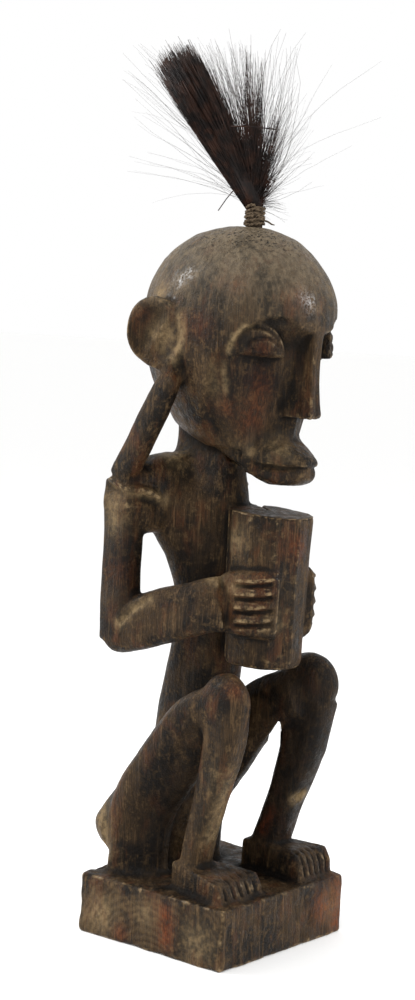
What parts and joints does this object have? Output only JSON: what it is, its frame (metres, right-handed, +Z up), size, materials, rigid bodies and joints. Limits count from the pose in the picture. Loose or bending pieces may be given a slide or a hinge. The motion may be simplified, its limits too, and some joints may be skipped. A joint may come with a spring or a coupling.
{
  "type": "carved male figure",
  "caption": "Seated male figure carved from one log with its base, hands round a tall cup, round flaring ears, a ridged face and a bound tuft of dark fibres on the crown.",
  "frame": {"origin": "on the underside of the base, in the middle of its width and below the figure's trunk", "axes": "+Z up; the figure faces -Y; its left hand is on +X"},
  "size_m": [0.1328, 0.1404, 0.5707],
  "materials": {
    "carved_wood": "dark brown carved wood, worn, with a dull to half gloss patina",
    "twine": "rough grey brown twine",
    "dark_fibre": "near black brown plant fibre or hair"
  },
  "bodies": {
    "root": {"figure": "carved_wood", "tuft_binding": "twine", "tuft_fibres": "dark_fibre"}
  },
  "joints": []
}
